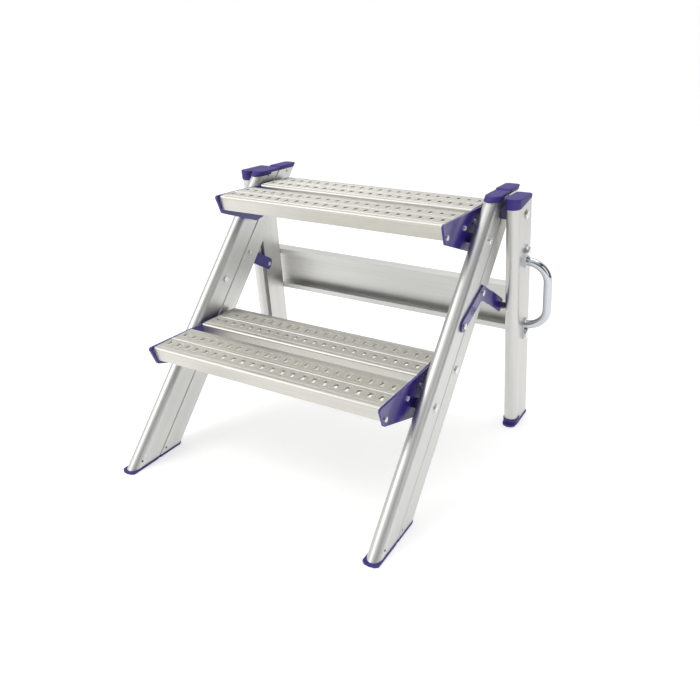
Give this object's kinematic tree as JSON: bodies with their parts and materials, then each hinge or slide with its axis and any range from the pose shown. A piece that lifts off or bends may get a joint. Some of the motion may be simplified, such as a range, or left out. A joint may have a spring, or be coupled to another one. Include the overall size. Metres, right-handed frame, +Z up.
{
  "type": "folding step ladder",
  "caption": "Low folding work platform with two slotted metal treads between sloping twin rails, splayed rear legs tied by a channel bar, plastic feet and a side carrying handle.",
  "frame": {"origin": "on the floor, below the middle of the whole object's box", "axes": "+X to the right of someone who faces the treads, +Y from the treads to the rear legs, +Z up"},
  "size_m": [0.664, 0.5906, 0.477],
  "materials": {
    "mill_aluminium": "satin extruded mill finish with fine lengthwise lines",
    "violet_plastic": "finely textured violet-blue moulded plastic",
    "violet_paint": "glossy violet-blue enamel on sheet metal",
    "dark_plastic": "dark blue-black moulded plastic",
    "chrome": "bright chrome plate",
    "bright_steel": "bright zinc-plated steel"
  },
  "bodies": {
    "front_frame": {"front_rail_left": "mill_aluminium", "front_rail_right": "mill_aluminium", "front_rail_foot_left": "violet_plastic", "front_rail_foot_right": "violet_plastic", "front_rail_cap_left": "violet_plastic", "front_rail_cap_right": "violet_plastic", "front_pivot_pins": "bright_steel", "front_pivot_spacers": "dark_plastic", "stay_front_rivets": "bright_steel"},
    "upper_tread": {"upper_tread_front_plank": "mill_aluminium", "upper_tread_rear_plank": "mill_aluminium", "upper_tread_bracket_left": "violet_paint", "upper_tread_bracket_right": "violet_paint", "upper_tread_rivets": "bright_steel"},
    "lower_tread": {"lower_tread_front_plank": "mill_aluminium", "lower_tread_rear_plank": "mill_aluminium", "lower_tread_bracket_left": "violet_paint", "lower_tread_bracket_right": "violet_paint", "lower_tread_rivets": "bright_steel"},
    "stays": {"stay_left": "violet_paint", "stay_right": "violet_paint", "stay_guide_pins": "bright_steel", "stay_guide_bushes": "dark_plastic"},
    "rear_frame": {"rear_rail_left": "mill_aluminium", "rear_rail_right": "mill_aluminium", "rear_rail_foot_left": "violet_plastic", "rear_rail_foot_right": "violet_plastic", "rear_rail_cap_left": "violet_plastic", "rear_rail_cap_right": "violet_plastic", "rear_pivot_pins": "bright_steel", "rear_pivot_spacers": "dark_plastic", "stay_rear_rivets": "bright_steel", "leg_hinge_bolts": "bright_steel"},
    "leg_frame": {"rear_leg_left": "mill_aluminium", "rear_leg_right": "mill_aluminium", "rear_leg_foot_left": "violet_plastic", "rear_leg_foot_right": "violet_plastic", "rear_leg_cap_left": "violet_plastic", "rear_leg_cap_right": "violet_plastic", "leg_hinge_blocks": "dark_plastic", "crossbar": "mill_aluminium", "crossbar_rivets": "bright_steel", "carry_handle": "chrome", "carry_handle_screws": "bright_steel"}
  },
  "joints": [
    {"name": "tread_fold", "type": "hinge", "parent": "front_frame", "child": "upper_tread", "pos_m": [-0.01987, 0.10784, 0.4051], "axis": [-1, 0, 0], "range_deg": [0, 120]},
    {"name": "lower_tread_fold", "type": "hinge", "parent": "front_frame", "child": "lower_tread", "pos_m": [-0.01987, -0.09664, 0.1776], "axis": [-1, 0, 0], "range_deg": [0, 120]},
    {"name": "stay_fold", "type": "hinge", "parent": "front_frame", "child": "stays", "pos_m": [-0.01987, 0.00055, 0.28573], "axis": [-1, 0, 0], "range_deg": [0, 120]},
    {"name": "rear_rail_fold", "type": "hinge", "parent": "upper_tread", "child": "rear_frame", "pos_m": [-0.01987, 0.18996, 0.43886], "axis": [-1, 0, 0], "range_deg": [-120, 0]},
    {"name": "leg_fold", "type": "hinge", "parent": "rear_frame", "child": "leg_frame", "pos_m": [-0.01987, 0.18996, 0.43886], "axis": [-1, 0, 0], "range_deg": [0, 51.3]}
  ],
  "couplings": [
    {"joint": "lower_tread_fold", "follows": "tread_fold", "ratio": 1},
    {"joint": "stay_fold", "follows": "tread_fold", "ratio": 1},
    {"joint": "rear_rail_fold", "follows": "tread_fold", "ratio": -1},
    {"joint": "leg_fold", "follows": "tread_fold", "ratio": 0.4271}
  ]
}
